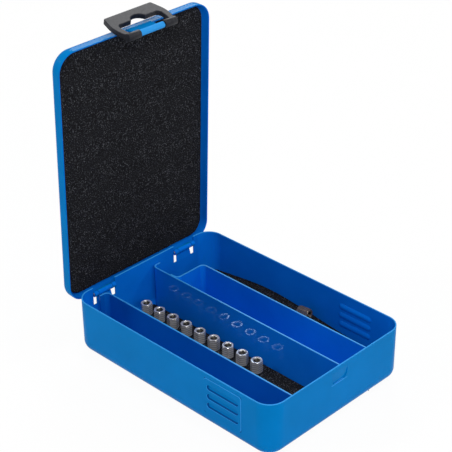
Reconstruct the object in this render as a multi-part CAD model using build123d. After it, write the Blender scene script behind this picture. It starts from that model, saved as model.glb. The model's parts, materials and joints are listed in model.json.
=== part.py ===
from build123d import *
from math import cos, radians, sin, sqrt, tan
import os

# Millimetres. +X runs along the hinge, +Y towards the hinge, +Z up.
# The origin is the centre of the underside. The lid stands open.

# Sheet-metal case
case_width = 118.0
case_length = 165.0
base_height = 36.5
lid_depth = 8.0
corner_radius = 12.0
base_edge_radius = 6.5
lid_edge_radius = 4.0
sheet = 0.8
rim_break = 0.2
lid_overlap = 1.8
lid_gap = 0.3

# Hinge
hinge_side_space = 24.7
notch_width = 18.0
notch_depth = 12.6
pin_radius = 1.0
pin_gap = 0.05
pin_end_chamfer = 0.3
hinge_drop = 4.8
tongue_width = 11.0
tongue_foot_width = 12.5
knuckle_side_gap = 0.35
curl_mouth_angle = 38.0
leaf_clearance = 0.45
open_angle = 88.0

# Front tongue of the lid and the barrel that carries the latch
barrel_length = 18.1
barrel_drop = 12.2
peg_radius = 1.0
peg_gap = 0.08
tongue_standoff = 1.05
tongue_bend = 1.2

# Catch pocket pressed into the front wall
pocket_width = 13.2
pocket_depth = 0.9
pocket_length = 8.4
pocket_ledge_drop = 11.6
pocket_corner = 4.0

# Latch frame
latch_length = 21.0
latch_free_width = 36.2
latch_belly_width = 42.2
latch_belly_height = 9.5
latch_belly_radius = 20.0
latch_pivot_width = 37.2
latch_thickness = 3.2
latch_edge = 0.35
latch_corner = 1.6
latch_rest_tilt = 9.5
boss_radius = 2.4
boss_side_gap = 0.35
peg_length = 5.0
slot_width = 32.0
slot_pivot_width = 28.4
slot_edge_bar = 9.6
slot_corner = 2.5
hump_width = 11.8
hump_edge_bar = 5.8

# Grips pressed into the long walls
grip_y = -45.0
grip_length = 29.0
grip_height = 24.2
grip_bottom = 9.0
grip_raise = 0.4
grip_edge = 0.3
grip_corner = 2.0
groove_count = 3
groove_length = 24.5
groove_pitch = 6.2
groove_radius = 2.0
groove_depth = 1.0

# Dividers
divider_top_drop = 5.5
divider_bend = 3.0
left_bay = 23.4
right_bay = 28.4
divider_centre_x = 6.0
rear_bay = 23.2
divider_left_setback = 0.5
divider_centre_setback = 0.8
end_flange = 6.0
foot_width = 6.0
fit_gap = 0.15

# Foam
pad_gap = 0.3
lid_pad_recess = 4.0
lid_pad_side_gap = 1.6
lid_pad_chamfer = 1.2
floor_pad = 2.4
strip_end_height = 8.0
strip_mid_height = 9.6
strip_crest_height = 14.2
strip_rear_height = 10.4
strip_mid_y = -30.0
strip_crest_y = 29.0
strip_rear_y = 62.0
pad_side_gap = 0.4
strip_samples = 200

# Hexagonal thread pieces
piece_count = 9
piece_across_flats = 6.8
piece_height = 8.2
piece_bore = 4.0
piece_bore_chamfer = 0.5
piece_corner_drop = 0.8
piece_corner_inset = 0.45
piece_pitch = 11.7
piece_front_x = -3.6
piece_drift = 0.34
piece_rear_space = 7.1
piece_turn_step = 23.0
loose_piece_x = 48.5
loose_piece_y = -11.5
loose_piece_turn = 8.0

# Worked out from the sizes above
half_width = case_width / 2
half_length = case_length / 2
base_inset = sheet + lid_gap
base_half_width = half_width - base_inset
base_half_length = half_length - base_inset
hinge_centre_x = half_width - hinge_side_space
lid_rim_z = base_height - lid_overlap
lid_top_z = lid_rim_z + lid_depth
curl_bore = pin_radius + pin_gap
curl_radius = curl_bore + sheet
hinge_y = half_length - curl_radius
hinge_z = base_height - hinge_drop
barrel_bore = peg_radius + peg_gap
barrel_radius = barrel_bore + sheet
tongue_inner_y = -(half_length + tongue_standoff)
barrel_y = tongue_inner_y - barrel_radius
barrel_z = lid_rim_z - barrel_drop
divider_top = base_height - divider_top_drop
divider_left_x = left_bay - base_half_width
divider_right_x = base_half_width - right_bay
divider_cross_y = base_half_length - rear_bay
piece_row_rear_y = base_half_length - sheet - piece_rear_space
floor_pad_top = sheet + floor_pad
HINGE_AXIS = Axis((0, hinge_y, hinge_z), (1, 0, 0))


def save(solid, name):
    export_step(solid, f"parts/{name}.step")
    print(name, round(solid.volume, 1))


def plan(inset, height, base_z=0.0):
    """Rounded plan of the case, pulled in by an inset, as a slab."""
    face = RectangleRounded(case_width - 2 * inset, case_length - 2 * inset, corner_radius - inset)
    return Pos(0, 0, base_z) * extrude(face, height)


def swept_wall(outline, radii):
    """Sheet section (outward, up) carried round the rounded plan of the case."""
    path = RectangleRounded(case_width, case_length, corner_radius).face().outer_wire()
    start = path.position_at(0)
    along = path.tangent_at(0)
    outward = along.cross(Vector(0, 0, 1))
    if outward.dot(Vector(start.X, start.Y, 0)) < 0:
        outward = -outward
    section_plane = Plane(origin=start, x_dir=outward, z_dir=outward.cross(Vector(0, 0, 1)))
    section = make_face(FilletPolyline(*outline, radius=radii, close=True))
    return sweep(section_plane * section, path=path)


def extrude_x(face_yz, x_from, x_to):
    """Prism along X from a face drawn in the (Y, Z) plane."""
    drawn = Plane(origin=(x_from, 0, 0), x_dir=(0, 1, 0), z_dir=(1, 0, 0)) * face_yz
    return extrude(drawn, x_to - x_from, dir=(1, 0, 0))


def block(x_from, x_to, y_from, y_to, z_from, z_to):
    size = Box(x_to - x_from, y_to - y_from, z_to - z_from, align=(Align.MIN, Align.MIN, Align.MIN))
    return Pos(x_from, y_from, z_from) * size


def cavity(gap):
    """Free space inside the base, pulled in by a gap at its walls, open above the rim."""
    inset = base_inset + sheet + gap
    space = plan(inset, base_height + lid_depth, sheet)
    floor_edges = space.faces().sort_by(Axis.Z)[0].edges()
    return fillet(floor_edges, base_edge_radius - sheet)


def hinge_curl(foot_y, foot_z, x_from, x_to):
    """Sheet tab rolled round the hinge pin: an open ring, and a leaf from its rear to the foot."""
    rise = foot_z - hinge_z
    foot = foot_y - hinge_y
    reach = 2 * curl_radius if rise > 0 else -2 * curl_radius
    mouth_width = abs(reach) * tan(radians(curl_mouth_angle))
    mouth = make_face(Polyline((0, 0), (0, reach), (mouth_width, reach), close=True))
    leaf = make_face(Polyline(
        (curl_bore, 0), (curl_radius, 0), (foot, rise), (foot - sheet, rise), close=True,
    ))
    profile = Circle(curl_radius) - mouth + leaf - Circle(curl_bore)
    return extrude_x(Pos(hinge_y, hinge_z) * profile, x_from, x_to)


def base_tongue(centre):
    """Hinge tongue standing in a notch of the base, wider at its foot, leaning out to its roll."""
    foot_z = base_height - notch_depth
    shoulder_z = hinge_z - curl_radius
    half_foot, half_roll = tongue_foot_width / 2, tongue_width / 2
    curl = hinge_curl(base_half_length, foot_z, centre - half_foot, centre + half_foot)
    front = make_face(Polyline(
        (-half_foot, foot_z), (half_foot, foot_z), (half_roll, shoulder_z), (half_roll, base_height),
        (-half_roll, base_height), (-half_roll, shoulder_z), close=True,
    ))
    plane = Plane(origin=(centre, half_length + sheet, 0), x_dir=(1, 0, 0), z_dir=(0, -1, 0))
    return curl & extrude(plane * front, 2 * (sheet + curl_radius))


def grip_groove(side, z, radius):
    """Capsule whose skin is one groove of a grip, lying along the wall."""
    axis_offset = groove_radius - groove_depth
    axis_x = side * (base_half_width + axis_offset)
    run = groove_length - 2 * sqrt(groove_radius**2 - axis_offset**2)
    bar = Pos(axis_x, grip_y, z) * Rot(90, 0, 0) * Cylinder(radius, run)
    for end in (-1, 1):
        bar += Pos(axis_x, grip_y + end * run / 2, z) * Sphere(radius)
    return bar


def add_grip(tray, side):
    middle_z = grip_bottom + grip_height / 2
    frame = Rectangle(grip_length, grip_height)
    frame = fillet(frame.vertices(), grip_corner)
    mid_wall = (side * (base_half_width - sheet / 2), grip_y, middle_z)
    facing = Plane(origin=mid_wall, x_dir=(0, 1, 0), z_dir=(side, 0, 0))
    panel = extrude(facing * frame, sheet / 2 + grip_raise)
    outer_face = panel.faces().sort_by(Axis.X)[-1 if side > 0 else 0]
    tray += chamfer(outer_face.edges(), grip_edge)
    for row in range(groove_count):
        z = middle_z + (row - (groove_count - 1) / 2) * groove_pitch
        rib = grip_groove(side, z, groove_radius + sheet)
        inner_x = side * (base_half_width - sheet / 2)
        keep = block(
            min(inner_x, 0), max(inner_x, 0),
            grip_y - groove_length, grip_y + groove_length,
            z - groove_pitch, z + groove_pitch,
        )
        tray += rib & keep
    for row in range(groove_count):
        z = middle_z + (row - (groove_count - 1) / 2) * groove_pitch
        tray -= grip_groove(side, z, groove_radius)
    return tray


def pocket_wedge(grow, outer_y):
    """Ramp that sinks into the front wall down to a level ledge; grown by the sheet for its backing."""
    slope = pocket_length / pocket_depth
    ledge_z = base_height - pocket_ledge_drop - grow
    deep_y = pocket_depth - base_half_length + grow * (1 + 1 / slope)
    ramp = make_face(Polyline(
        (outer_y, ledge_z), (deep_y, ledge_z), (outer_y, ledge_z + (deep_y - outer_y) * slope), close=True,
    ))
    width = pocket_width + 2 * grow
    front = Rectangle(width, 4 * pocket_length)
    low_corners = front.vertices().sort_by(Axis.Y)[:2]
    front = fillet(low_corners, pocket_corner + grow)
    plane = Plane(origin=(0, deep_y, ledge_z + 2 * pocket_length), x_dir=(1, 0, 0), z_dir=(0, -1, 0))
    return extrude_x(ramp, -width / 2, width / 2) & extrude(plane * front, deep_y - outer_y)


def base_tray():
    skin = -base_inset
    inner = skin - sheet
    r = base_edge_radius
    flat_edge = skin - r - sheet
    outline = [
        (flat_edge, 0), (skin, 0), (skin, base_height - rim_break), (skin - rim_break, base_height),
        (inner + rim_break, base_height), (inner, base_height - rim_break), (inner, sheet),
        (flat_edge, sheet),
    ]
    radii = [0, r, 0, 0, 0, 0, r - sheet, 0]
    tray = swept_wall(outline, radii) + plan(-flat_edge, sheet)
    for side in (-1, 1):
        centre = side * hinge_centre_x
        tray -= block(
            centre - notch_width / 2, centre + notch_width / 2,
            base_half_length - 2 * sheet, half_length + sheet,
            base_height - notch_depth, base_height + sheet,
        )
        tray += base_tongue(centre)
        tray = add_grip(tray, side)
    tray += pocket_wedge(sheet, sheet - rim_break - base_half_length)
    tray -= pocket_wedge(0.0, -half_length)
    return tray


def lid_closed():
    """Lid in its closed place, before it is swung open."""
    r = lid_edge_radius
    flat_edge = r + sheet
    outline = [
        (-flat_edge, lid_top_z), (0, lid_top_z), (0, lid_rim_z + rim_break), (-rim_break, lid_rim_z),
        (rim_break - sheet, lid_rim_z), (-sheet, lid_rim_z + rim_break),
        (-sheet, lid_top_z - sheet), (-flat_edge, lid_top_z - sheet),
    ]
    radii = [0, r, 0, 0, 0, 0, r - sheet, 0]
    lid = swept_wall(outline, radii) + plan(flat_edge, sheet, lid_top_z - sheet)
    knuckle_half = (notch_width - tongue_width) / 2 - 2 * knuckle_side_gap
    leaf_foot = hinge_z + curl_radius + leaf_clearance
    for side in (-1, 1):
        centre = side * hinge_centre_x
        leaf_half = notch_width / 2 - knuckle_side_gap
        lid += block(
            centre - leaf_half, centre + leaf_half, half_length - sheet, half_length,
            leaf_foot, lid_rim_z + sheet / 2,
        )
        for end in (-1, 1):
            outer = centre + end * leaf_half
            inner = outer - end * knuckle_half
            lid += hinge_curl(half_length, leaf_foot + sheet, min(inner, outer), max(inner, outer))
    return lid + front_tongue()


def front_tongue():
    """Tongue stepped out in front of the lid's wall, rolled outward into the barrel."""
    wall_in = -half_length + sheet
    out_in = tongue_inner_y
    root_z = lid_rim_z + 3 * sheet
    bend_z = lid_rim_z + sheet / 2
    level_z = bend_z - (wall_in - out_in)
    slant = sheet * tan(radians(45 / 2))
    inner_bend = tongue_bend - sheet / 2
    outer_bend = tongue_bend + sheet / 2
    strap = make_face(FilletPolyline(
        (wall_in, root_z), (wall_in, bend_z), (out_in, level_z), (out_in, barrel_z),
        (out_in - sheet, barrel_z), (out_in - sheet, level_z + slant),
        (wall_in - sheet, bend_z + slant), (wall_in - sheet, root_z),
        radius=[0, outer_bend, inner_bend, 0, 0, outer_bend, inner_bend, 0], close=True,
    ))
    half = barrel_length / 2
    tongue = extrude_x(strap, -half, half)
    ring = Circle(barrel_radius) - Circle(barrel_bore)
    barrel = extrude_x(Pos(barrel_y, barrel_z) * ring, -half, half)
    return tongue + barrel


def swing_open(shape):
    return shape.rotate(HINGE_AXIS, -open_angle)


def hinge_pin(side):
    length = notch_width - 2 * fit_gap
    pin = Cylinder(pin_radius, length)
    pin = chamfer(pin.edges(), pin_end_chamfer)
    return Pos(side * hinge_centre_x, hinge_y, hinge_z) * Rot(0, 90, 0) * pin


def latch_face():
    """Outline of the latch frame and its hanging slot, drawn up from the pivot axis."""
    half_pivot, half_belly, half_free = latch_pivot_width / 2, latch_belly_width / 2, latch_free_width / 2
    outline = make_face(Polyline(
        (-half_pivot, 0), (-half_belly, latch_belly_height), (-half_free, latch_length),
        (half_free, latch_length), (half_belly, latch_belly_height), (half_pivot, 0),
        close=True,
    ))
    by_height = outline.vertices().sort_by(Axis.Y)
    outline = fillet(by_height[2:4], latch_belly_radius)
    outline = fillet(outline.vertices().sort_by(Axis.Y)[-2:], latch_corner)
    slot_top = latch_length - slot_edge_bar
    half_slot, half_slot_pivot = slot_width / 2, slot_pivot_width / 2
    slot = make_face(Polyline(
        (-half_slot_pivot, -boss_radius), (-half_slot, slot_top / 2), (-half_slot, slot_top),
        (half_slot, slot_top), (half_slot, slot_top / 2), (half_slot_pivot, -boss_radius), close=True,
    ))
    slot = fillet(slot.vertices().sort_by(Axis.Y)[-2:], slot_corner)
    hump = Pos(0, latch_length - hump_edge_bar - hump_width / 2) * Circle(hump_width / 2)
    return outline - (slot + hump)


def latch_closed():
    """Latch frame drawn standing up from the barrel, then tilted to where it rests."""
    plane = Plane(origin=(0, -latch_thickness / 2, 0), x_dir=(-1, 0, 0), z_dir=(0, 1, 0))
    plate = extrude(plane * latch_face(), latch_thickness)
    flat_faces = plate.faces().filter_by(Axis.Y)
    plate = chamfer(flat_faces.edges(), latch_edge)
    for side in (-1, 1):
        start = side * (barrel_length / 2 + boss_side_gap)
        end = side * latch_pivot_width / 2
        plate += extrude_x(Circle(boss_radius), min(start, end), max(start, end))
        peg_end = start - side * (peg_length + boss_side_gap)
        plate += extrude_x(Circle(peg_radius), min(peg_end, start), max(peg_end, start))
    upright = plate.rotate(Axis((0, 0, 0), (1, 0, 0)), latch_rest_tilt)
    return Pos(0, barrel_y, barrel_z) * upright


def ribbon(points, thickness, bend):
    """Flat strip of sheet along a plan route, with the same bend at every corner."""
    route = [Vector(*p) for p in points]
    runs = [(b - a).normalized() for a, b in zip(route, route[1:])]
    outline = []
    radii = []
    for side in (1, -1):
        edge = []
        edge_radii = []
        for here, before, after in zip(route, runs[:1] + runs, runs + runs[-1:]):
            left = Vector(-before.Y, before.X)
            mitre = (left + Vector(-after.Y, after.X)).normalized()
            edge.append(here + mitre * (side * thickness / 2 / mitre.dot(left)))
            turn = before.X * after.Y - before.Y * after.X
            edge_radii.append(bend - side * thickness / 2 * turn if turn else 0)
        outline += edge[::side]
        radii += edge_radii[::side]
    return make_face(FilletPolyline(*outline, radius=radii, close=True))


def stand_strip(points, foot):
    """Divider: a strip standing on the floor, trimmed to the inside of the base, with its foot."""
    strip = extrude(Pos(0, 0, sheet) * ribbon(points, sheet, divider_bend), divider_top - sheet)
    return (strip + foot) & cavity(fit_gap)


def foot_strip(x, side, y_from, y_to):
    inner = x
    outer = x + side * foot_width
    return block(min(inner, outer), max(inner, outer), y_from, y_to, sheet, 2 * sheet)


def divider_left():
    x = divider_left_x
    rear = hinge_y - curl_radius - divider_left_setback - sheet / 2
    front = -base_half_length + sheet + fit_gap + sheet / 2
    route = [(x - end_flange, front), (x, front), (x, rear), (x - end_flange, rear)]
    foot = foot_strip(x, -1, front + divider_bend, rear - divider_bend)
    return stand_strip(route, foot)


def divider_centre():
    x = divider_centre_x
    rear = base_half_length - sheet - divider_centre_setback - sheet / 2
    front = -base_half_length + pocket_depth + sheet + 2 * fit_gap + sheet / 2
    route = [(x + end_flange, front), (x, front), (x, rear), (x + end_flange, rear)]
    foot = foot_strip(x, 1, front + divider_bend, divider_cross_y - 2 * divider_bend)
    return stand_strip(route, foot)


def divider_right():
    x = divider_right_x
    weld_x = divider_centre_x + sheet + fit_gap
    front = -base_half_length + sheet + fit_gap + sheet / 2
    route = [
        (weld_x, divider_cross_y + end_flange), (weld_x, divider_cross_y),
        (x, divider_cross_y), (x, front), (x - end_flange, front),
    ]
    foot = foot_strip(x, -1, front + divider_bend, divider_cross_y - 2 * divider_bend)
    return stand_strip(route, foot)


def lid_foam():
    top = lid_top_z - sheet - pad_gap
    bottom = lid_rim_z + lid_pad_recess
    pad = plan(sheet + lid_pad_side_gap, top - bottom, bottom)
    upper_edges = pad.faces().sort_by(Axis.Z)[-1].edges()
    return chamfer(upper_edges, lid_pad_chamfer)


def foam_centre():
    left = divider_left_x + sheet / 2 + pad_side_gap
    right = divider_centre_x - sheet / 2 - pad_side_gap
    rear = base_half_length - sheet - divider_centre_setback - pad_side_gap
    slab = block(left, right, -base_half_length, rear, sheet, floor_pad_top)
    return slab & cavity(pad_side_gap)


def strip_edge():
    end_y = base_half_length - sheet - pad_side_gap
    return Spline(
        (-end_y, strip_end_height), (strip_mid_y, strip_mid_height), (strip_crest_y, strip_crest_height),
        (strip_rear_y, strip_rear_height), (end_y, strip_end_height),
    )


def foam_right():
    end_y = base_half_length - sheet - pad_side_gap
    crest = strip_edge()
    rest = Polyline((end_y, strip_end_height), (end_y, sheet), (-end_y, sheet), (-end_y, strip_end_height))
    side_face = make_face(Curve() + [crest, rest])
    left = divider_right_x + sheet / 2 + pad_side_gap
    strip = extrude_x(side_face, left, base_half_width)
    return strip & cavity(pad_side_gap)


def thread_piece():
    """Hexagonal steel piece with a bore, its corners turned down at both ends."""
    standing = (Align.CENTER, Align.CENTER, Align.MIN)
    corner_radius = piece_across_flats / 2 / cos(radians(30))
    body = extrude(RegularPolygon(corner_radius, 6), piece_height)
    turned = Cylinder(corner_radius, piece_height, align=standing)
    turned = chamfer(turned.edges(), piece_corner_drop, piece_corner_inset)
    piece = (body & turned) - Cylinder(piece_bore / 2, piece_height, align=standing)
    mouth = Cone(piece_bore / 2 + piece_bore_chamfer, piece_bore / 2, piece_bore_chamfer, align=standing)
    return piece - mouth - Pos(0, 0, piece_height) * Rot(180, 0, 0) * mouth


def row_piece(index):
    x = piece_front_x - index * piece_drift
    y = piece_row_rear_y - (piece_count - 1 - index) * piece_pitch
    z = floor_pad_top + pad_gap
    return Pos(x, y, z) * Rot(0, 0, index * piece_turn_step) * thread_piece()


def loose_piece():
    seat = strip_height_at(loose_piece_y)
    lying = Pos(0, -piece_height / 2, 0) * Rot(-90, 0, 0) * thread_piece()
    z = seat + pad_gap + piece_across_flats / 2
    return Pos(loose_piece_x, loose_piece_y, z) * Rot(0, 0, loose_piece_turn) * lying


def strip_height_at(y):
    """Highest point of the strip's top within the length of the piece that lies on it."""
    crest = strip_edge()
    reach = piece_height / 2 + piece_across_flats / 2
    along = [crest.position_at(i / strip_samples) for i in range(strip_samples + 1)]
    return max(p.Y for p in along if abs(p.X - y) <= reach)


os.makedirs("parts", exist_ok=True)
save(base_tray(), "base_tray")
save(swing_open(lid_closed()), "lid_tray")
save(swing_open(latch_closed()), "latch")
save(swing_open(lid_foam()), "lid_foam")
save(hinge_pin(-1), "hinge_pin_left")
save(hinge_pin(1), "hinge_pin_right")
save(divider_left(), "divider_left")
save(divider_centre(), "divider_centre")
save(divider_right(), "divider_right")
save(foam_centre(), "foam_centre")
save(foam_right(), "foam_right")
for index in range(piece_count):
    save(row_piece(index), f"thread_piece_{index + 1}")
save(loose_piece(), f"thread_piece_{piece_count + 1}")
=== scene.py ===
import json
from functools import reduce
from math import cos, pi, radians, sin, sqrt

import bpy
from mathutils import Matrix, Vector, noise
from mathutils.bvhtree import BVHTree


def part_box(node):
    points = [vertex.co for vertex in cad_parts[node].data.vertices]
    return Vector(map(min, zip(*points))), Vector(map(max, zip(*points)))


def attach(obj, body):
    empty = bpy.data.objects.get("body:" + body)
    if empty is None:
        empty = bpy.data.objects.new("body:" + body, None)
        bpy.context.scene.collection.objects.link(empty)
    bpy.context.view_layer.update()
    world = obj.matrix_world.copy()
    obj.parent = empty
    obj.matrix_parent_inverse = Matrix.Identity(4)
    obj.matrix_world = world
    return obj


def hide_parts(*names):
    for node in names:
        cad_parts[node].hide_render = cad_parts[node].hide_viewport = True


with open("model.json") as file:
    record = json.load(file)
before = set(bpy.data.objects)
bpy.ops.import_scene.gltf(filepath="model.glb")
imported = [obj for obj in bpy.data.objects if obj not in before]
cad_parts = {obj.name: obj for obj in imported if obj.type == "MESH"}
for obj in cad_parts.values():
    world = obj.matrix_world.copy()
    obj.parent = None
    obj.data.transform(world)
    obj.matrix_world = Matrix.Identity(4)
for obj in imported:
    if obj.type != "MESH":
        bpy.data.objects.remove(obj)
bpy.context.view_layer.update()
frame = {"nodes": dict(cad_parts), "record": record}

# Lengths are in metres, angles in degrees and powers in watts. A tone is linear red, green and
# blue. A texture is (waves per metre, detail, roughness), and a roughness is (lowest, highest).

# Camera, solved from the edges of the case in the photograph
IMAGE_SIZE = 452
FOCAL_PIXELS = 1427.3
CENTRE_PIXEL = (226.0, 271.0)
CAMERA_AZIMUTH = -45.35
CAMERA_ELEVATION = 31.89
CAMERA_ROLL = -0.6
CAMERA_DISTANCE = 0.84171
CAMERA_TARGET = (-0.00291, 0.00552, 0.06291)
SENSOR_WIDTH = 36.0
CLIP_START = 0.01
CLIP_END = 20.0

# Stage
WHITE = (1.0, 1.0, 1.0, 1.0)
FLOOR_SIZE = 8.0
FLOOR_DROP = 0.00005
FLOOR_CLOUDS = (12.0, 3.0, 0.5)
FLOOR_TONES = ((0.86, 0.86, 0.86), (0.90, 0.90, 0.90))
FLOOR_ROUGHNESS = 0.7
FLOOR_WHITE_SHARE = 0.95
WORLD_STRENGTH = 0.28
WHITE_RAYS = ("Is Camera Ray", "Is Glossy Ray", "Is Transmission Ray")
# Name, place, the height it is aimed at above the origin, size, power
LAMPS = (
    ("key", (-0.78, -0.86, 1.08), 0.05, (0.28, 0.28), 7.4),
    ("top", (0.15, -0.1, 1.5), 0.05, (0.3, 0.3), 5.0),
    ("fill", (-0.2, -1.4, 0.6), 0.05, (0.9, 0.5), 2.6),
    ("rear_right", (0.97, 0.96, 0.92), 0.06, (0.62, 0.46), 7.0),
    ("rear_left", (-0.82, 0.96, 1.0), 0.06, (0.25, 0.25), 5.0),
    ("front_right", (0.97, -0.82, 0.98), 0.06, (0.25, 0.25), 3.6),
)

# Where a noise reaches the lower and the upper of two tones
TONE_STOPS = (0.3, 0.7)

# Enamel. A look is (specular level, roughness, depth of the orange peel).
PAINT_CLOUDS = (38.0, 4.0, 0.5)
PAINT_PATCHES = (30.0, 2.0, 0.5)
PAINT_PEEL = (420.0, 2.0, 0.5)
PEEL_STRENGTH = 0.3
PAINT_GLOSS_TINT = (0.3, 0.65, 1.0, 1.0)
# Deeper, darker blue of faces inside the case and of the dividers: painted shade
PAINT_INSIDE_SHADE = ((0.001, 0.150, 0.66), (0.002, 0.175, 0.73))
PAINT_OUTSIDE = ((0.001, 0.180, 0.50), (0.002, 0.200, 0.56))
# Pale, dull tone on rims, divider tops, the grip's border, the pocket's ledge and the tongue roll:
# a painted highlight
PAINT_HIGHLIGHT = (0.035, 0.30, 0.74)
# Darker tone in the grip's grooves: painted shade
PAINT_GROOVE_SHADE = (0.001, 0.07, 0.27)
HIGHLIGHT_ROUGHNESS = 0.55
TRAY_LOOKS = {
    "base_tray": (0.02, (0.10, 0.14), 0.000001),
    "lid_tray": (0.014, (0.10, 0.14), 0.000001),
}
DIVIDER_LOOK = (0.6, (0.05, 0.09), 0.00003)
# The left divider's paint is darkened to a share of its tone: painted shade from the left wall
DEEP_DIVIDER = "divider_left"
SHADED_DIVIDER_SHARE = 0.66
# Heights above which the rim of the base and the tops of the dividers get a pale painted highlight
RIM_TOP = 0.0361
DIVIDER_TOP = 0.0306
# Boxes as (centre, half size), with x taken without its sign. The grip's border, the pocket's ledge
# and the lid's tongue roll get a pale painted highlight, the grip's grooves a darker painted shade
GRIP_BORDER = ((0.05815, -0.045, 0.021), (0.00014, 0.016, 0.014))
GRIP_GROOVES = ((0.0576, -0.045, 0.021), (0.00035, 0.0145, 0.0121))
POCKET_LEDGE = ((0.0, -0.08095, 0.0248), (0.0068, 0.00055, 0.0003))
TONGUE_ROLL = ((0.0, 0.06566, 0.19736), (0.0095, 0.0021, 0.0021))

# Black plastic of the latch
PLASTIC_CLOUDS = (700.0, 3.0, 0.5)
PLASTIC_STOPS = ((0.3, (0.009, 0.0095, 0.0125)), (0.75, (0.022, 0.023, 0.030)))
PLASTIC_PATCHES = (900.0, 3.0, 0.5)
PLASTIC_ROUGHNESS = (0.4, 0.52)
PLASTIC_SPECULAR = 0.16
PLASTIC_GRAIN = (1500.0, 3.0, 0.5)
PLASTIC_GRAIN_DEPTH = 0.00006
PLASTIC_GRAIN_STRENGTH = 0.8

# Foam: dark cells with a few pale flecks under a millimetre across
FOAM_CELLS = (1450.0, 2.0, 0.7)
FOAM_STOPS = (
    (0.40, (0.008, 0.008, 0.009)), (0.56, (0.016, 0.0165, 0.019)),
    (0.62, (0.034, 0.036, 0.042)), (0.70, (0.16, 0.165, 0.18)),
)
FOAM_ROUGHNESS = 1.0
FOAM_SPECULAR = 0.02
FOAM_CELL_DEPTH = 0.0005
FOAM_CELL_STRENGTH = 0.6

# Steel, with tones as (dark, light)
STEEL_CLOUDS = (260.0, 5.0, 0.65)
STEEL_PATCHES = (400.0, 4.0, 0.6)
WIRE_TONES = ((0.28, 0.28, 0.30), (0.45, 0.45, 0.47))
WIRE_ROUGHNESS = (0.25, 0.4)
WIRE_GRAIN = (900.0, 3.0, 0.6)
WIRE_GRAIN_DEPTH = 0.00002
WIRE_GRAIN_STRENGTH = 0.6
BRIGHT_TONES = ((0.66, 0.63, 0.60), (0.95, 0.93, 0.90))
# Darker, browner steel for the piece lying by the wall: painted shade
LYING_SHADE_TONES = ((0.16, 0.12, 0.09), (0.30, 0.22, 0.16))
TURNED_ROUGHNESS = (0.14, 0.24)
TURNED_METAL = 0.5
# Near-black steel on the threads inside the bores: painted shade in the bores
BORE_SHADE_TONES = ((0.05, 0.045, 0.04), (0.10, 0.095, 0.09))
BORE_ROUGHNESS = (0.3, 0.45)
# Tool marks round the axis: fine rings in relief and wider bands in tone
RING_SCALE = 700.0
RING_DISTORTION = 0.6
RING_DEPTH = 0.000012
RING_STRENGTH = 1.0
BAND_SCALE = 210.0
BAND_DISTORTION = 0.8
BAND_SHARE = 0.55
BAND_TONE = (0.10, 0.095, 0.09)

# Softly broken edges of the frame's nodes, by material slot
BROKEN_EDGES = {
    "blue_paint": 0.00012, "black_plastic": 0.0002, "wire_steel": 0.0001, "bright_steel": 0.0002,
}
WELD_DISTANCE = 0.000002
BEVEL_SEGMENTS = 2
BEVEL_ANGLE = 35.0

# Shapes of the foam
FOAM_STEP = 0.0013
FOAM_CORNER_STEPS = 8
FOAM_SIDE_SHARES = (0.0, 0.08, 0.17, 0.28, 0.42, 0.58, 0.76, 1.0)
FOAM_EDGE = 0.0007
FOAM_EDGE_STEPS = 4
FOAM_LAST_STEPS = 1.5
FOAM_WAVE = 0.00022
FOAM_WAVE_LAYERS = ((55, 0.6), (240, 0.5), (620, 0.45))
FOAM_WAVE_MIDDLE = 0.55
FOAM_SIDE_WAVE = 0.4
PAD_CORNER = 0.0008
LID_PAD_CORNER = 0.0096
LID_PAD_CHAMFER = 0.0012
FLOOR_BEND_RADIUS = 0.0057
STRIP_CORNER = 0.0097
STRIP_MARGIN = 0.001
STRIP_LEAN = 0.0003
STRIP_LEAN_WAVES = (30, 18)
STRIP_LEAN_LAYER = 4.0

# Threads inside the hexagonal pieces. The profile is (outwards, share of the pitch along the axis).
PIECES = [f"thread_piece_{number}" for number in range(1, 11)]
LOOSE_PIECE = "thread_piece_10"
LOOSE_TURN = 8.0
PIECE_HEIGHT = 0.0082
BORE_CHAMFER = 0.0005
THREAD_PITCH = 0.0008
THREAD_STEPS = 24
THREAD_PROFILE = (
    (0.00003, -0.5), (-0.00002, -0.5), (-0.00028, -0.06),
    (-0.00028, 0.06), (-0.00002, 0.5), (0.00003, 0.5),
)

SCENE = bpy.context.scene
JOINTS = {joint["name"]: joint for joint in frame["record"]["behaviour"]["joints"]}
HINGE_POINT = Vector(JOINTS["lid_hinge"]["pos_m"])
OPEN_ANGLE = radians(JOINTS["lid_hinge"]["range_deg"][1])


# Node-tree helpers

def new_material(name):
    material = bpy.data.materials.new(name)
    material.use_nodes = True
    tree = material.node_tree
    return material, tree, tree.nodes["Principled BSDF"]


def add_node(tree, kind, **settings):
    node = tree.nodes.new(kind)
    for key, value in settings.items():
        if key in node.inputs:
            node.inputs[key].default_value = value
        else:
            setattr(node, key, value)
    return node


def own_place(tree):
    """The Texture Coordinate node, for places and normals in the object's own space."""
    return add_node(tree, "ShaderNodeTexCoord")


def object_noise(tree, scale, detail, roughness):
    texture = add_node(
        tree, "ShaderNodeTexNoise", Scale=scale, Detail=detail, Roughness=roughness)
    tree.links.new(own_place(tree).outputs["Object"], texture.inputs["Vector"])
    return texture.outputs["Fac"]


def object_waves(tree, along, scale, distortion):
    texture = add_node(
        tree, "ShaderNodeTexWave", bands_direction=along, Scale=scale, Distortion=distortion)
    tree.links.new(own_place(tree).outputs["Object"], texture.inputs["Vector"])
    return texture.outputs["Fac"]


def ramp(tree, factor, stops):
    """Colour ramp from (position, tone) stops."""
    node = add_node(tree, "ShaderNodeValToRGB")
    elements = node.color_ramp.elements
    for index, (position, tone) in enumerate(stops):
        element = elements[index] if index < 2 else elements.new(position)
        element.position = position
        element.color = (*tone, 1.0)
    tree.links.new(factor, node.inputs["Fac"])
    return node.outputs["Color"]


def between(tree, factor, tones):
    """Colours between two tones."""
    return ramp(tree, factor, zip(TONE_STOPS, tones))


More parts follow.
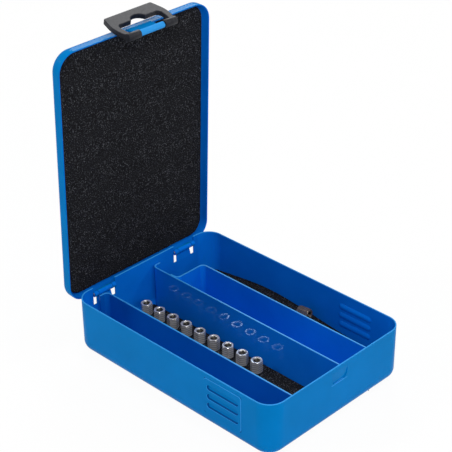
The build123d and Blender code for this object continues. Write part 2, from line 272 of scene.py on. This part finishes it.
def remap(tree, factor, low, high):
    node = add_node(tree, "ShaderNodeMapRange")
    node.inputs["To Min"].default_value = low
    node.inputs["To Max"].default_value = high
    tree.links.new(factor, node.inputs["Value"])
    return node.outputs["Result"]


def calculate(tree, operation, *values):
    """Math node over sockets and plain numbers."""
    node = add_node(tree, "ShaderNodeMath", operation=operation)
    for socket, value in zip(node.inputs, values):
        if isinstance(value, float):
            socket.default_value = value
        else:
            tree.links.new(value, socket)
    return node.outputs["Value"]


def highest(tree, values):
    return reduce(lambda first, second: calculate(tree, "MAXIMUM", first, second), values)


def laid_over(tree, tone, share, top):
    """A tone with another, a socket or a plain tone, laid over it by share."""
    mix = add_node(tree, "ShaderNodeMix", data_type="RGBA")
    tone_a, tone_b = [socket for socket in mix.inputs if socket.type == "RGBA"]
    tree.links.new(share, mix.inputs["Factor"])
    tree.links.new(tone, tone_a)
    if isinstance(top, tuple):
        tone_b.default_value = (*top, 1.0)
    else:
        tree.links.new(top, tone_b)
    return next(socket for socket in mix.outputs if socket.type == "RGBA")


def bump(tree, shader, height, distance, strength):
    node = add_node(tree, "ShaderNodeBump", Strength=strength, Distance=distance)
    tree.links.new(height, node.inputs["Height"])
    tree.links.new(node.outputs["Normal"], shader.inputs["Normal"])


# Masks by place, in the object's own space

def facing_out(tree, centre):
    """1 where a surface faces away from a centre and 0 where it faces it."""
    place = own_place(tree)
    offset = add_node(tree, "ShaderNodeVectorMath", operation="SUBTRACT")
    offset.inputs[1].default_value = centre
    tree.links.new(place.outputs["Object"], offset.inputs[0])
    dot = add_node(tree, "ShaderNodeVectorMath", operation="DOT_PRODUCT")
    tree.links.new(offset.outputs["Vector"], dot.inputs[0])
    tree.links.new(place.outputs["Normal"], dot.inputs[1])
    return calculate(tree, "GREATER_THAN", dot.outputs["Value"], 0.0)


def coordinates(tree):
    parts = add_node(tree, "ShaderNodeSeparateXYZ")
    tree.links.new(own_place(tree).outputs["Object"], parts.inputs[0])
    return [parts.outputs[axis] for axis in "XYZ"]


def above(tree, height):
    """1 above a height."""
    return calculate(tree, "GREATER_THAN", coordinates(tree)[2], height)


def inside(tree, centre, half):
    """1 inside a box, with x taken without its sign."""
    x, y, z = coordinates(tree)
    values = zip((calculate(tree, "ABSOLUTE", x), y, z), centre, half)
    tests = [calculate(tree, "COMPARE", *value) for value in values]
    return reduce(lambda first, second: calculate(tree, "MULTIPLY", first, second), tests)


# Materials

def blue_paint(name, look, share=1.0, centre=None, worn_above=None, worn=(), pooled=()):
    """Enamel in a share of its full tone; a share under one darkens it as painted shade. Faces that
    look toward a centre, or all faces when there is none, have a deeper inside blue that is painted
    shade, and faces that look away from it have the outside's tone. It is pale and dull above a
    height or in boxes, a painted highlight, and darker in other boxes, painted shade in grooves."""
    specular, roughness, peel = look
    material, tree, shader = new_material(name)
    clouds = object_noise(tree, *PAINT_CLOUDS)
    # Painted shade: faces inside the case, and the dividers, take a deeper, darker blue than the
    # outside
    tone = between(tree, clouds, [[share * part for part in tone] for tone in PAINT_INSIDE_SHADE])
    if centre is not None:
        outside = between(tree, clouds, PAINT_OUTSIDE)
        tone = laid_over(tree, tone, facing_out(tree, centre), outside)
    # Painted highlight: a pale, dull tone above a height and in boxes
    marks = [inside(tree, *box) for box in worn]
    if worn_above is not None:
        marks.append(above(tree, worn_above))
    highlight_mask = highest(tree, marks)
    tone = laid_over(tree, tone, highlight_mask, PAINT_HIGHLIGHT)
    # Painted shade: a darker tone in the grip's grooves
    if pooled:
        tone = laid_over(
            tree, tone, highest(tree, [inside(tree, *box) for box in pooled]), PAINT_GROOVE_SHADE)
    tree.links.new(tone, shader.inputs["Base Color"])
    patches = remap(tree, object_noise(tree, *PAINT_PATCHES), *roughness)
    dull = calculate(tree, "MULTIPLY", highlight_mask, HIGHLIGHT_ROUGHNESS)
    tree.links.new(highest(tree, [dull, patches]), shader.inputs["Roughness"])
    shader.inputs["Specular IOR Level"].default_value = specular
    shader.inputs["Specular Tint"].default_value = PAINT_GLOSS_TINT
    bump(tree, shader, object_noise(tree, *PAINT_PEEL), peel, PEEL_STRENGTH)
    return material


def tray_paint(name, **marks):
    low, high = (Vector(corner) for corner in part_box(name))
    return blue_paint(f"blue_paint_{name}", TRAY_LOOKS[name], centre=(low + high) / 2, **marks)


def black_plastic():
    material, tree, shader = new_material("black_plastic")
    tone = ramp(tree, object_noise(tree, *PLASTIC_CLOUDS), PLASTIC_STOPS)
    tree.links.new(tone, shader.inputs["Base Color"])
    gloss = remap(tree, object_noise(tree, *PLASTIC_PATCHES), *PLASTIC_ROUGHNESS)
    tree.links.new(gloss, shader.inputs["Roughness"])
    shader.inputs["Specular IOR Level"].default_value = PLASTIC_SPECULAR
    grain = object_noise(tree, *PLASTIC_GRAIN)
    bump(tree, shader, grain, PLASTIC_GRAIN_DEPTH, PLASTIC_GRAIN_STRENGTH)
    return material


def black_foam():
    material, tree, shader = new_material("black_foam")
    cells = object_noise(tree, *FOAM_CELLS)
    tree.links.new(ramp(tree, cells, FOAM_STOPS), shader.inputs["Base Color"])
    shader.inputs["Roughness"].default_value = FOAM_ROUGHNESS
    shader.inputs["Specular IOR Level"].default_value = FOAM_SPECULAR
    bump(tree, shader, cells, FOAM_CELL_DEPTH, FOAM_CELL_STRENGTH)
    return material


def steel(name, tones, roughness, metal=1.0):
    """Clouded steel, as its material, node tree, shader and tone."""
    material, tree, shader = new_material(name)
    tone = between(tree, object_noise(tree, *STEEL_CLOUDS), tones)
    tree.links.new(tone, shader.inputs["Base Color"])
    shader.inputs["Metallic"].default_value = metal
    gloss = remap(tree, object_noise(tree, *STEEL_PATCHES), *roughness)
    tree.links.new(gloss, shader.inputs["Roughness"])
    return material, tree, shader, tone


def wire_steel():
    material, tree, shader, _ = steel("wire_steel", WIRE_TONES, WIRE_ROUGHNESS)
    grain = object_noise(tree, *WIRE_GRAIN)
    bump(tree, shader, grain, WIRE_GRAIN_DEPTH, WIRE_GRAIN_STRENGTH)
    return material


def turned_steel(name, along, tones):
    """Bright steel with the marks of a turning tool round its axis."""
    material, tree, shader, tone = steel(name, tones, TURNED_ROUGHNESS, TURNED_METAL)
    rings = object_waves(tree, along, RING_SCALE, RING_DISTORTION)
    bump(tree, shader, rings, RING_DEPTH, RING_STRENGTH)
    bands = remap(tree, object_waves(tree, along, BAND_SCALE, BAND_DISTORTION), 0.0, BAND_SHARE)
    tree.links.new(laid_over(tree, tone, bands, BAND_TONE), shader.inputs["Base Color"])
    return material


MATERIALS = {
    "blue_paint": blue_paint("blue_paint", DIVIDER_LOOK, worn_above=DIVIDER_TOP),
    "black_plastic": black_plastic(),
    "black_foam": black_foam(),
    "wire_steel": wire_steel(),
    "bright_steel": turned_steel("bright_steel", "Z", BRIGHT_TONES),
}
BORE_SHADE_STEEL = steel("bore_painted_shade", BORE_SHADE_TONES, BORE_ROUGHNESS)[0]


# Frame nodes that stay, with their finish and broken edges

def finish_node(name, material, edge):
    node = frame["nodes"][name]
    for slot in node.material_slots:
        slot.material = material
    if not node.material_slots:
        node.data.materials.append(material)
    weld = node.modifiers.new("weld", "WELD")
    weld.merge_threshold = WELD_DISTANCE
    bevel = node.modifiers.new("broken edges", "BEVEL")
    bevel.width = edge
    bevel.segments = BEVEL_SEGMENTS
    bevel.limit_method = "ANGLE"
    bevel.angle_limit = radians(BEVEL_ANGLE)
    bevel.harden_normals = True
    bevel.use_clamp_overlap = True


def finish_nodes():
    own_materials = {
        "base_tray": tray_paint(
            "base_tray", worn_above=RIM_TOP, worn=(GRIP_BORDER, POCKET_LEDGE),
            pooled=(GRIP_GROOVES,)),
        "lid_tray": tray_paint("lid_tray", worn=(TONGUE_ROLL,)),
        # Painted shade: the left divider in a darker share of the paint
        DEEP_DIVIDER: blue_paint(
            f"blue_paint_{DEEP_DIVIDER}", DIVIDER_LOOK, SHADED_DIVIDER_SHARE,
            worn_above=DIVIDER_TOP),
        # Painted shade: the lying piece gets a dark copy of the bright steel
        LOOSE_PIECE: turned_steel("bright_steel_painted_shade", "Y", LYING_SHADE_TONES),
    }
    for part in frame["record"]["subparts"]:
        name, slot = part["node"], part["material_slot"]
        if slot in BROKEN_EDGES:
            finish_node(name, own_materials.get(name, MATERIALS[slot]), BROKEN_EDGES[slot])


# Foam pieces

def mesh_object(name, verts, faces, slot, body):
    mesh = bpy.data.meshes.new(name)
    mesh.from_pydata([tuple(v) for v in verts], [], faces)
    mesh.validate()
    mesh.update()
    for polygon in mesh.polygons:
        polygon.use_smooth = True
    piece = bpy.data.objects.new(name, mesh)
    SCENE.collection.objects.link(piece)
    mesh.materials.append(MATERIALS[slot])
    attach(piece, body)
    return piece


def rounded_ring(half_x, half_y, radii, counts):
    """Closed outline about the origin as (point, outward normal) pairs. The radii go corner by
    corner from (+x, +y), anticlockwise."""
    side_steps_x, side_steps_y, corner_steps = counts
    pairs = []
    signs = [(1, 1), (-1, 1), (-1, -1), (1, -1)]
    corners = []
    for (sign_x, sign_y), radius in zip(signs, radii):
        radius = min(radius, half_x, half_y)
        centre = Vector((sign_x * (half_x - radius), sign_y * (half_y - radius)))
        corners.append((centre, radius))
    for index, (centre, radius) in enumerate(corners):
        for step in range(corner_steps + 1):
            angle = (index + step / corner_steps) * pi / 2
            normal = Vector((cos(angle), sin(angle)))
            pairs.append((centre + radius * normal, normal))
        last, normal = pairs[-1]
        next_centre, next_radius = corners[(index + 1) % 4]
        target = next_centre + next_radius * normal
        steps = side_steps_x if index % 2 == 0 else side_steps_y
        pairs += [(last.lerp(target, step / steps), normal) for step in range(1, steps)]
    return pairs


def foam_levels(half_x, half_y):
    """Rings of a foam block as (inset, share of the height, lift): sides, soft edge, top face."""
    levels = [(0.0, share, 0.0) for share in FOAM_SIDE_SHARES]
    for step in range(1, FOAM_EDGE_STEPS + 1):
        angle = step / FOAM_EDGE_STEPS * pi / 2
        levels.append((FOAM_EDGE * (1 - cos(angle)), 1.0, FOAM_EDGE * sin(angle)))
    inset = FOAM_EDGE
    while inset + FOAM_LAST_STEPS * FOAM_STEP < min(half_x, half_y):
        inset += FOAM_STEP
        levels.append((inset, 1.0, FOAM_EDGE))
    return levels


def foam_block(name, body, half_x, half_y, radii, low, top, place, draw_in, left_share=1.0):
    """Foam slab in rings. top gives the height at a plan point, draw_in how far the sides stand
    in at a height above the underside, left_share how much of that the left side takes, and
    place takes a local point to the frame."""
    counts = (int(2 * half_x / FOAM_STEP), int(2 * half_y / FOAM_STEP), FOAM_CORNER_STEPS)
    levels = foam_levels(half_x, half_y)
    verts = []
    for inset, share, lift in levels:
        wave = FOAM_WAVE * (1.0 if inset > FOAM_EDGE else FOAM_SIDE_WAVE)
        inner_radii = [max(radius - inset, FOAM_EDGE) for radius in radii]
        ring = rounded_ring(half_x - inset, half_y - inset, inner_radii, counts)
        for point, normal in ring:
            height = low + (top(point) - FOAM_EDGE - low) * share + lift
            pull = draw_in(height - low)
            side_share = left_share if normal.x < 0 else 1.0
            point = point - Vector((normal.x * pull * side_share, normal.y * pull))
            spot = Vector((point.x, point.y, height))
            grain = sum(noise.noise(spot * scale) * part for scale, part in FOAM_WAVE_LAYERS)
            spot.z += wave * (grain - FOAM_WAVE_MIDDLE)
            verts.append(place(spot))
    count = len(ring)
    faces = []
    for row in range(len(levels) - 1):
        for index in range(count):
            after = (index + 1) % count
            faces.append((row * count + index, row * count + after,
                          (row + 1) * count + after, (row + 1) * count + index))
    faces.append(tuple(range(count))[::-1])
    faces.append(tuple((len(levels) - 1) * count + index for index in range(count)))
    return mesh_object(name, verts, faces, "black_foam", body)


def lid_pad():
    """Foam in the lid, made flat in the closed lid and turned with it to where it stands open."""
    turn = (Matrix.Translation(HINGE_POINT) @ Matrix.Rotation(-OPEN_ANGLE, 4, "X")
            @ Matrix.Translation(-HINGE_POINT))
    back = turn.inverted()
    local = [back @ vertex.co for vertex in frame["nodes"]["lid_foam"].data.vertices]
    low = Vector([min(p[axis] for p in local) for axis in range(3)])
    high = Vector([max(p[axis] for p in local) for axis in range(3)])
    centre, size = (low + high) / 2, high - low
    to_frame = turn @ Matrix.Translation(centre) @ Matrix.Rotation(pi, 4, "Y")
    pad = foam_block(
        "lid_pad", "lid", size.x / 2, size.y / 2, [LID_PAD_CORNER] * 4, -size.z / 2,
        lambda point: size.z / 2, lambda point: to_frame @ point,
        lambda height: max(0.0, LID_PAD_CHAMFER - height),
    )
    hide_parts("lid_foam")


def floor_bend(height):
    """How far the rounded foot of the base stands in at a height above its floor."""
    rise = min(max(height, 0.0), FLOOR_BEND_RADIUS)
    return FLOOR_BEND_RADIUS - sqrt(FLOOR_BEND_RADIUS**2 - (FLOOR_BEND_RADIUS - rise) ** 2)


def floor_mat():
    low, high = (Vector(corner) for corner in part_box("foam_centre"))
    centre, size = (low + high) / 2, high - low
    mat = foam_block(
        "floor_mat", "base", size.x / 2, size.y / 2, [PAD_CORNER] * 4, low.z,
        lambda point: high.z,
        lambda point: Vector((centre.x + point.x, centre.y + point.y, point.z)),
        lambda height: max(0.0, floor_bend(height) - floor_bend(size.z)),
    )
    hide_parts("foam_centre")


def side_strip():
    """Foam strip with the wavy top of its CAD solid."""
    low, high = (Vector(corner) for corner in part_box("foam_right"))
    centre, size = (low + high) / 2, high - low
    source = frame["nodes"]["foam_right"].data
    tree = BVHTree.FromPolygons(
        [vertex.co for vertex in source.vertices],
        [polygon.vertices for polygon in source.polygons])

    def top(point):
        limit = size.y / 2 - STRIP_MARGIN
        y = centre.y + max(-limit, min(limit, point.y))
        start = Vector((low.x + STRIP_MARGIN, y, high.z + STRIP_MARGIN))
        hit = tree.ray_cast(start, Vector((0, 0, -1)))[0]
        wave_x, wave_y = STRIP_LEAN_WAVES
        spot = Vector((point.x * wave_x, point.y * wave_y, STRIP_LEAN_LAYER))
        return hit.z + STRIP_LEAN * (noise.noise(spot) - 1)

    strip = foam_block(
        "side_strip", "base", size.x / 2, size.y / 2,
        [STRIP_CORNER, PAD_CORNER, PAD_CORNER, STRIP_CORNER], low.z, top,
        lambda point: Vector((centre.x + point.x, centre.y + point.y, point.z)),
        floor_bend, left_share=0.0,
    )
    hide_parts("foam_right")


# Threads

def thread_turns(name):
    """Helical ridge inside the bore of one hexagonal piece."""
    low, high = (Vector(corner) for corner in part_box(name))
    centre = (low + high) / 2
    source = frame["nodes"][name].data
    lying, turn = name == LOOSE_PIECE, radians(LOOSE_TURN)
    axis = Vector((sin(-turn), cos(-turn), 0)) if lying else Vector((0, 0, 1))
    bore = min((vertex.co - centre).cross(axis).length for vertex in source.vertices)
    side = axis.orthogonal().normalized()
    other = axis.cross(side)
    turns = int((PIECE_HEIGHT - 2 * BORE_CHAMFER) / THREAD_PITCH)
    size = len(THREAD_PROFILE)
    verts, faces = [], []
    for step in range(turns * THREAD_STEPS + 1):
        angle = 2 * pi * step / THREAD_STEPS
        along = (step / THREAD_STEPS - turns / 2) * THREAD_PITCH
        out = cos(angle) * side + sin(angle) * other
        for outward, rise in THREAD_PROFILE:
            verts.append(centre + out * (bore + outward) + axis * (along + rise * THREAD_PITCH))
        if step:
            first = (step - 1) * size
            for edge in range(size):
                after = (edge + 1) % size
                faces.append((first + edge, first + after,
                              first + size + after, first + size + edge))
    last = len(verts) - size
    faces += [tuple(range(size))[::-1], tuple(range(last, last + size))]
    thread = mesh_object(f"{name}_thread", verts, faces, "bright_steel", name)
    # Painted shade: the thread takes the near-black bore steel
    thread.material_slots[0].material = BORE_SHADE_STEEL


# Stage: floor, world, lamps and camera

def seen_white(tree, shader_output, kind, share):
    """A stage material that camera, glossy and transmission rays see as white, by a share."""
    path = add_node(tree, "ShaderNodeLightPath")
    seen = highest(tree, [path.outputs[ray] for ray in WHITE_RAYS])
    white = add_node(tree, kind, Color=WHITE, Strength=1.0)
    mix = add_node(tree, "ShaderNodeMixShader")
    tree.links.new(calculate(tree, "MULTIPLY", seen, share), mix.inputs[0])
    tree.links.new(shader_output, mix.inputs[1])
    tree.links.new(white.outputs[0], mix.inputs[2])
    return mix.outputs[0]


def studio_floor():
    bpy.ops.mesh.primitive_plane_add(size=FLOOR_SIZE, location=(0, 0, -FLOOR_DROP))
    floor = bpy.context.object
    floor.name = "floor"
    material, tree, shader = new_material("floor_white")
    tone = between(tree, object_noise(tree, *FLOOR_CLOUDS), FLOOR_TONES)
    tree.links.new(tone, shader.inputs["Base Color"])
    shader.inputs["Roughness"].default_value = FLOOR_ROUGHNESS
    white = seen_white(tree, shader.outputs[0], "ShaderNodeEmission", FLOOR_WHITE_SHARE)
    tree.links.new(white, tree.nodes["Material Output"].inputs["Surface"])
    floor.data.materials.append(material)


def studio_world():
    world = bpy.data.worlds.new("studio")
    SCENE.world = world
    world.use_nodes = True
    tree = world.node_tree
    background = tree.nodes["Background"]
    background.inputs["Color"].default_value = WHITE
    background.inputs["Strength"].default_value = WORLD_STRENGTH
    white = seen_white(tree, background.outputs[0], "ShaderNodeBackground", 1.0)
    tree.links.new(white, tree.nodes["World Output"].inputs["Surface"])


def softbox(name, place, aim_height, size, power):
    data = bpy.data.lights.new(name, "AREA")
    data.shape = "RECTANGLE"
    data.size, data.size_y = size
    data.energy = power
    lamp = bpy.data.objects.new(name, data)
    lamp.location = place
    direction = Vector((0, 0, aim_height)) - Vector(place)
    lamp.rotation_euler = direction.to_track_quat("-Z", "Y").to_euler()
    SCENE.collection.objects.link(lamp)


def studio_camera():
    azimuth, elevation = radians(CAMERA_AZIMUTH), radians(CAMERA_ELEVATION)
    roll = radians(CAMERA_ROLL)
    back = Vector((sin(azimuth) * cos(elevation), -cos(azimuth) * cos(elevation), sin(elevation)))
    right = Vector((cos(azimuth), sin(azimuth), 0))
    up = back.cross(right)
    turned_right = right * cos(roll) + up * sin(roll)
    turned_up = up * cos(roll) - right * sin(roll)
    data = bpy.data.cameras.new("camera")
    data.sensor_width = SENSOR_WIDTH
    data.lens = FOCAL_PIXELS / IMAGE_SIZE * SENSOR_WIDTH
    data.shift_x = -(CENTRE_PIXEL[0] - IMAGE_SIZE / 2) / IMAGE_SIZE
    data.shift_y = (CENTRE_PIXEL[1] - IMAGE_SIZE / 2) / IMAGE_SIZE
    data.clip_start = CLIP_START
    data.clip_end = CLIP_END
    camera = bpy.data.objects.new("camera", data)
    camera.matrix_world = Matrix((
        (turned_right.x, turned_up.x, back.x, 0), (turned_right.y, turned_up.y, back.y, 0),
        (turned_right.z, turned_up.z, back.z, 0), (0, 0, 0, 1),
    ))
    camera.location = Vector(CAMERA_TARGET) + back * CAMERA_DISTANCE
    SCENE.collection.objects.link(camera)
    SCENE.camera = camera


finish_nodes()
lid_pad()
floor_mat()
side_strip()
for piece_name in PIECES:
    thread_turns(piece_name)

studio_floor()
studio_world()
for lamp_settings in LAMPS:
    softbox(*lamp_settings)
studio_camera()
SCENE.view_settings.view_transform = "Standard"
